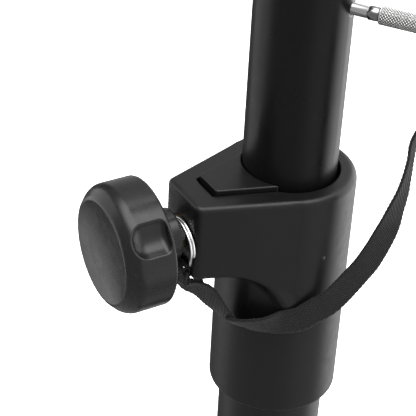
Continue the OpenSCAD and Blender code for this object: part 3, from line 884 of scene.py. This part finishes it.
def split_ring(centre, axis, start_turn):
    """Two turns of spring wire side by side, with the jog where one turn steps over to the other."""
    turns = np.linspace(0, 4 * math.pi - 0.95, 260)
    shift = WIRE_R * 1.04 * (2 * ease(turns, 2 * math.pi - 0.88, 2 * math.pi - 0.04) - 1)
    u, v = axes_about(axis)
    w = unit(axis)
    a = turns + start_turn
    circle = RING_R * (np.cos(a)[:, None] * u + np.sin(a)[:, None] * v)
    return swept(np.asarray(centre) + circle + shift[:, None] * w, WIRE_R, 12, w)


def add_clamp():
    """The housing, shoe, knob, screw and the ring on the screw."""
    field_piece("clamp_housing_shell", housing_field, "clamp_housing", HOUSING_CELL, housing_plastic,
                "stand", "black_moulding")
    field_piece("wedge_shoe", shoe_field, "clamp_shoe", FINE_CELL, shoe_plastic, "shoe", "black_moulding")
    grip = knob_field(SCREW_Z, KNOB_BACK, -knob_low[0] - KNOB_BACK, KNOB_R,
                      hub_r=9.5, hub_back=9.8, bore_end=14.2)
    field_piece("clamp_knob_grip", grip, "clamp_knob", FINE_CELL, knob_plastic, "knob", "knob_plastic")
    threaded_rod("clamp_screw_thread", (screw_low, screw_high), SCREW_Z, "knob", ("clamp_screw",))
    points, faces = split_ring(RING_CENTRE, (-1, 0, 0), math.radians(-5))
    make_piece("knob_split_ring", points, faces, ring_steel, "stand", "ring_steel", ("knob_ring",))


add_clamp()


# ------------------------ locking pin

# distances from the mast's axis along the pin, and radii
PIN_START = -UPPER_R - 5
COLLAR = 23.5
GRIP_START = 27.0
GRIP_END = 60.0
EYE_AT = 56.5
PIN_R = 2.2
NECK_R = 2.35
COLLAR_R = 2.5
GRIP_R = 3.3


def pin_point(along, z=0.0):
    return PIN_DIRECTION * along + np.array([0, 0, PIN_Z + z])


def knurled(radius, low, high):
    """A diamond-knurled grip along the pin, with plain chamfered ends."""
    knots, pitch, depth = 18, 1.15, 0.42
    rows = round((high - low) / 0.11) + 1
    s = np.linspace(low, high, rows)
    turn = full_turn(knots * 9)
    a = (knots * turn[None, :] / (2 * math.pi) + s[:, None] / pitch) % 1
    b = (knots * turn[None, :] / (2 * math.pi) - s[:, None] / pitch) % 1
    cut = np.maximum(1 - 2.6 * np.abs(a - 0.5), 1 - 2.6 * np.abs(b - 0.5)).clip(0, 1)
    end = np.minimum(s - low, high - s)[:, None]
    cut = cut * ease(end, 0.6, 1.0)
    r = np.minimum(radius - depth * cut, radius - 0.8 + end * 1.2)
    u, v = axes_about(PIN_DIRECTION)
    rim = np.cos(turn)[None, :, None] * u + np.sin(turn)[None, :, None] * v
    points = pin_point(0) + s[:, None, None] * PIN_DIRECTION + r[..., None] * rim
    return points.reshape(-1, 3), capped(rows, len(turn))


def add_pin():
    """The pin with its chamfered tip and collar, the knurled grip and the ring in the grip's eye."""
    profile = [(0, PIN_START), (0.9, PIN_START), (PIN_R - 0.1, PIN_START + 2.2), (PIN_R, PIN_START + 2.5),
               (PIN_R, COLLAR - 0.5), (PIN_R - 0.25, COLLAR - 0.4), (PIN_R - 0.25, COLLAR - 0.05),
               (COLLAR_R - 0.1, COLLAR), (COLLAR_R, COLLAR + 0.15), (COLLAR_R, GRIP_START - 0.5),
               (NECK_R, GRIP_START - 0.35), (NECK_R, GRIP_START + 1), (0, GRIP_START + 1)]
    points, faces = turned(profile, pin_point(0), PIN_DIRECTION, 64)
    make_piece("lock_pin_shaft", points, faces, chrome, "pin", "knurled_steel", ("lock_pin",))
    points, faces = knurled(GRIP_R, GRIP_START, GRIP_END)
    make_piece("lock_pin_knurl", points, faces, knurl_steel, "pin", "knurled_steel", ("pin_grip",))
    points, faces = split_ring(pin_point(EYE_AT, -RING_R), PIN_DIRECTION, math.radians(20))
    make_piece("pin_split_ring", points, faces, ring_steel, "pin", "ring_steel", ("pin_ring",))


add_pin()


# ------------------------ tripod

PIVOT_R = 40.0        # distance of the pivots from the mast's axis
BOLT_HOLE_R = 4.05
HUB_PIVOT = joint("leg_1_fold")["pos_m"][2] / MM
BASE_PIVOT = joint("brace_1_fold")["pos_m"][2] / MM
HUB_SCREW_Z = joint("hub_knob_turn")["pos_m"][2] / MM
LEG_R = 12.5
EAR_IN = LEG_R + 0.6
EAR_T = 6.0
EAR_OUT = EAR_IN + EAR_T
COLLAR_OUT = 16.3     # half the length between the washers on the bottom collar's bolts
HUB_KNOB_BACK = 51.0
LEG_TURNS = [math.radians(120 * i) for i in range(3)]
BRACE_LEN = 260.0
LEG_SPREAD = math.acos((HUB_PIVOT - BASE_PIVOT) / (2 * BRACE_LEN))


def folded(p):
    """Coordinates in the nearest leg's own plane: outwards and sideways."""
    r = radial(p)
    turn = (np.arctan2(p[..., 1], p[..., 0]) + math.pi / 3) % (2 * math.pi / 3) - math.pi / 3
    return r * np.cos(turn), r * np.sin(turn)


def arm(out, up, half):
    """Outline of an arm with a round end at the pivots."""
    return np.where(out < PIVOT_R, np.abs(up) - half, np.hypot(out - PIVOT_R, up) - half)


def hub_field(p):
    """The sliding leg hub: a ribbed sleeve, three pairs of ears and the boss for its screw."""
    out, sideways = folded(p)
    r, up = radial(p), p[..., 2] - HUB_PIVOT
    body = round_max(r - 26.5, np.abs(up - 9) - 31, 2.2)
    for rib in (-15.5, 31.0, 34.5):
        body = round_max(body, 0.9 - np.hypot(r - 26.9, up - rib), 0.3)
    ears = round_max(np.abs(np.abs(sideways) - EAR_IN - EAR_T / 2) - EAR_T / 2, arm(out, up, 13.0), 1.3)
    body = round_min(body, ears, 2.6)
    screw = np.hypot(p[..., 1], p[..., 2] - HUB_SCREW_Z)
    boss = np.maximum(round_max(screw - 11, -p[..., 0] - 42, 1.4), p[..., 0])
    body = round_min(body, boss, 3.0)
    slot = np.maximum(np.maximum(27 - out, np.abs(sideways) - EAR_IN), np.abs(up) - 14)
    body = round_max(body, -slot, 0.7)
    body = round_max(body, BOLT_HOLE_R - np.hypot(out - PIVOT_R, up), 0.5)
    body = round_max(body, -np.maximum(screw - 6.05, p[..., 0] + 30), 0.6)
    pocket = np.maximum(screw - 8.4, np.abs(p[..., 0] + 23) - 8)
    return round_max(np.maximum(body, -pocket), LOWER_R + 0.3 - r, 0.9)


def collar_field(p):
    """The fixed bottom collar, with one arm between each pair of braces."""
    out, sideways = folded(p)
    r, up = radial(p), p[..., 2] - BASE_PIVOT
    body = round_max(r - 27, np.abs(up) - 18, 2.2)
    arms = round_max(np.abs(sideways) - LEG_R, arm(out, up, 10.0), 1.4)
    body = round_min(body, arms, 2.4)
    for groove in (-14.5, 14.5):
        body = round_max(body, 0.8 - np.hypot(r - 27.3, up - groove), 0.3)
    body = round_max(body, BOLT_HOLE_R - np.hypot(out - PIVOT_R, up), 0.5)
    return round_max(body, LOWER_R + 0.02 - r, 0.6)


def leg_line(i):
    """A leg's top pivot, its direction down to the foot and its reach to the floor."""
    turn = LEG_TURNS[i]
    lean = math.cos(LEG_SPREAD)
    top = np.array([PIVOT_R * math.cos(turn), PIVOT_R * math.sin(turn), HUB_PIVOT])
    out = np.array([math.cos(turn), math.sin(turn), 0]) * math.sin(LEG_SPREAD)
    return top, out - np.array([0, 0, lean]), HUB_PIVOT / lean


def foot_field(i):
    """A grooved rubber foot over a leg's end, cut flat at the floor."""
    top, down, reach = leg_line(i)

    def field(p):
        s = (p - top) @ down - reach
        rho = np.linalg.norm(p - top - ((p - top) @ down)[..., None] * down, axis=-1)
        body = round_max(rho - LEG_R - 3, -s - 52, 1.8)
        body = round_max(body, -p[..., 2], 1.5)
        body = round_max(body, s - 12, 1.5)
        for groove in (-45.5, -41, -36.5, -32):
            body = round_max(body, 1.1 - np.hypot(rho - LEG_R - 3.2, s - groove), 0.35)
        return round_max(body, -np.maximum(rho - LEG_R, s + 22), 0.4)
    return field


def bolt_head(centre, direction):
    """A domed head with a hexagon socket, standing on centre."""
    radius, height, socket = 5.7, 2.35, 2.4
    profile = [(0, 0), (radius, 0), (radius, height * 0.35)]
    for share in (0.2, 0.45, 0.7, 0.9):
        rise = 0.35 + 0.65 * math.sin(share * 1.35)
        profile.append((radius * math.cos(share) ** 0.8, height * rise))
    profile += [(socket + 0.3, height), (socket, height - 0.2, 1), (socket, height - 1.6, 1)]
    profile.append((0, height - 1.9))
    return turned(profile, centre, direction, 72)


def hex_nut(centre, direction):
    """A chamfered nut with the bolt's end showing inside it."""
    height, flats, bolt_r = 5.0, 6.0, 3.9
    profile = [(0, 0), (flats - 0.25, 0), (flats, 0.35, 1), (flats, height - 0.45, 1), (flats - 0.3, height),
               (bolt_r + 0.5, height), (bolt_r + 0.15, height - 0.4), (bolt_r, height - 0.5),
               (bolt_r, height - 0.2), (bolt_r - 0.6, height + 0.35), (0, height + 0.35)]
    return turned(profile, centre, direction, 72)


def pivot_hardware(z, reach):
    """Bolts, washers and nuts for the three pivots at height z, reach either side of the middle."""
    bolts, nuts = [], []
    for turn in LEG_TURNS:
        place = np.array([PIVOT_R * math.cos(turn), PIVOT_R * math.sin(turn), z])
        along = np.array([-math.sin(turn), math.cos(turn), 0])
        shank = [(0, -reach - 6), (3.4, -reach - 6), (3.95, -reach - 5.4), (3.95, reach + 0.2),
                 (0, reach + 0.2)]
        washer = [(0, reach - 0.02), (6.35, reach - 0.02), (6.5, reach + 0.15), (6.35, reach + 0.7),
                  (0, reach + 0.7)]
        bolts += [turned(shank, place, along, 48), turned(washer, place, along, 72),
                  bolt_head(place + along * (reach + 0.65), along)]
        nuts.append(hex_nut(place - along * reach, -along))
    return joined(bolts), joined(nuts)


def rivet_pair(turn):
    """The two domed rivets at the far end of a brace."""
    out = np.array([math.cos(turn), math.sin(turn), 0])
    place = out * (PIVOT_R + BRACE_LEN * math.sin(LEG_SPREAD))
    place[2] = BASE_PIVOT + BRACE_LEN * math.cos(LEG_SPREAD)
    along = np.array([-out[1], out[0], 0])
    near, seat = LEG_R + 0.4, 16.2
    profile = [(0, near), (2.7, near), (2.95, near + 0.3), (2.95, seat - 0.02), (5.4, seat - 0.02),
               (5.5, seat + 0.2), (5.3, seat + 0.75), (4.4, seat + 1.35), (2.8, seat + 1.8), (0, seat + 2)]
    return joined([turned(profile, place, along * side, 64) for side in (1, -1)])


def add_tripod():
    """The hub and bottom collar with their fasteners, the hub's knob and screw, the feet and the rivets."""
    coarse = 0.95
    field_piece("tripod_hub", hub_field, "leg_hub", coarse, housing_plastic, "hub", "black_moulding")
    field_piece("bottom_collar", collar_field, "base_collar", coarse, housing_plastic, "stand",
                "black_moulding")
    low, high = box_mm("hub_knob")
    grip = knob_field(HUB_SCREW_Z, HUB_KNOB_BACK, -low[0] - HUB_KNOB_BACK, high[1],
                      hub_r=8.0, hub_back=4.0, bore_end=12.2)
    field_piece("hub_knob_grip", grip, "hub_knob", 0.5, knob_plastic, "hub_knob", "knob_plastic")
    threaded_rod("hub_screw_thread", box_mm("hub_screw"), HUB_SCREW_Z, "hub_knob", ("hub_screw",))
    for i, turn in enumerate(LEG_TURNS):
        number = i + 1
        field_piece(f"rubber_foot_{number}", foot_field(i), f"foot_{number}", 0.85, foot_rubber,
                    f"leg_{number}", "black_rubber")
        make_piece(f"brace_{number}_rivet_heads", *rivet_pair(turn), zinc_steel, f"brace_{number}",
                   "zinc_steel", (f"brace_rivets_{number}",))
    pivots = (("base", BASE_PIVOT, COLLAR_OUT, "stand"), ("hub", HUB_PIVOT, EAR_OUT, "hub"))
    for name, z, reach, body in pivots:
        for part, mesh in zip(("bolts", "nuts"), pivot_hardware(z, reach)):
            make_piece(f"{name}_pivot_{part}", *mesh, zinc_steel, body, "zinc_steel",
                       (f"{name}_{part}",))


add_tripod()


# ------------------------ carried-over CAD nodes

NODE_LOOKS = {
    "upper_tube": mast_paint, "lower_tube": lower_paint,
    "lower_end_cap": foot_rubber, "housing_screw": zinc_steel, "clamp_nut": brass,
    "guide_bush": trim_plastic, "guide_plug": trim_plastic, "pole_cap": trim_plastic,
    "base_set_screw": zinc_steel, "hub_insert": brass, "hub_pad": trim_plastic,
}
for i in (1, 2, 3):
    NODE_LOOKS[f"leg_tube_{i}"] = lower_paint
    NODE_LOOKS[f"leg_plug_{i}"] = trim_plastic
    NODE_LOOKS[f"brace_{i}_left"] = strap_paint
    NODE_LOOKS[f"brace_{i}_right"] = strap_paint
for node_name, look in NODE_LOOKS.items():
    materials = nodes[node_name].data.materials
    materials.clear()
    materials.append(look.material)


# ------------------------ studio

def add_floor():
    """A white floor that glows a little, so that no shadow greys it, and that stays out of reflections."""
    s = Shader("floor", grey(0.93), 0.9, specular=0.05)
    s.set("Emission Color", (1, 1, 1, 1))
    s.set("Emission Strength", 0.35)
    half = 6.0   # metres
    corners = [(-half, -half, 0), (half, -half, 0), (half, half, 0), (-half, half, 0)]
    mesh = bpy.data.meshes.new("floor")
    mesh.from_pydata(corners, [], [(0, 1, 2, 3)])
    mesh.materials.append(s.material)
    floor = bpy.data.objects.new("floor", mesh)
    bpy.context.scene.collection.objects.link(floor)
    floor.visible_glossy = False


add_floor()
bpy.context.scene.view_settings.view_transform = "Standard"
bpy.context.scene.view_settings.look = "None"
